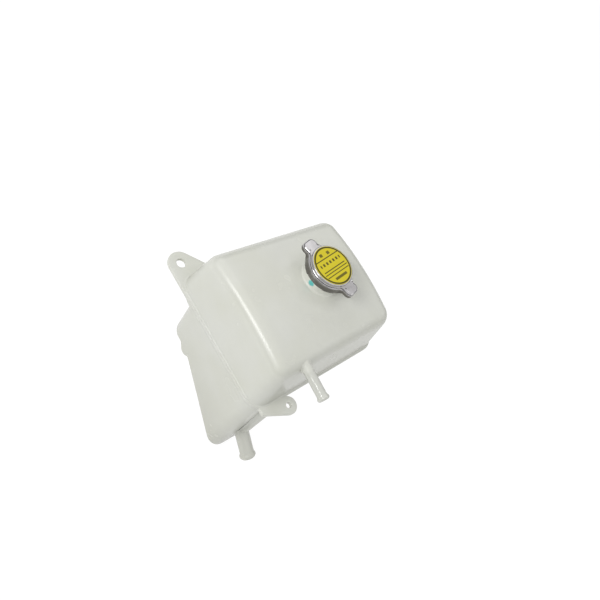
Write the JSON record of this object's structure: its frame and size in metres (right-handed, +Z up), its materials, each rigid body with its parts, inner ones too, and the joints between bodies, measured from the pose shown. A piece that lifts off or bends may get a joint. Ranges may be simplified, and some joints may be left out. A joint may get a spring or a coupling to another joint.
{
  "type": "coolant expansion tank",
  "caption": "Translucent welded plastic coolant tank with a deep sump, a sprung metal pressure cap, two hose spigots and two fixing lugs.",
  "frame": {"origin": "centre of the upper fixing hole, on the underside of its lug", "axes": "+Z up along the filler neck, +X along the tank towards its two hose spigots, +Y from the sump's side towards the far side"},
  "size_m": [0.1976, 0.1667, 0.2005],
  "materials": {
    "natural_plastic": "satin, translucent natural polypropylene",
    "cap_metal": "bright pressed sheet",
    "label_yellow": "printed film",
    "spring_steel": "satin",
    "seal_rubber": "matt",
    "valve_brass": "turned"
  },
  "bodies": {
    "tank": {"upper_shell": "natural_plastic", "lower_shell": "natural_plastic"},
    "cap": {"cap_shell": "cap_metal", "cap_label": "label_yellow", "cap_rivet": "cap_metal", "friction_disc": "spring_steel", "spring_cage": "spring_steel", "pressure_spring": "spring_steel"},
    "pressure_valve": {"valve_plate": "spring_steel", "valve_seal": "seal_rubber", "seal_retainer": "spring_steel", "vacuum_spring": "spring_steel"},
    "vacuum_valve": {"vacuum_valve": "valve_brass", "vacuum_clip": "spring_steel"}
  },
  "joints": [
    {"name": "cap_turn", "type": "hinge", "parent": "tank", "child": "cap", "pos_m": [0.0773, 0.0853, 0.0615], "axis": [0, 0, 1], "range_deg": [0, 90]},
    {"name": "pressure_lift", "type": "slide", "parent": "cap", "child": "pressure_valve", "axis": [0, 0, 1], "range_m": [0, 0.003], "stiffness_N_per_m": 4000, "springref_m": -0.009, "deforming": ["pressure_spring"]},
    {"name": "vacuum_drop", "type": "slide", "parent": "pressure_valve", "child": "vacuum_valve", "axis": [0, 0, -1], "range_m": [0, 0.0016], "stiffness_N_per_m": 150, "springref_m": -0.0016, "deforming": ["vacuum_spring"]}
  ]
}
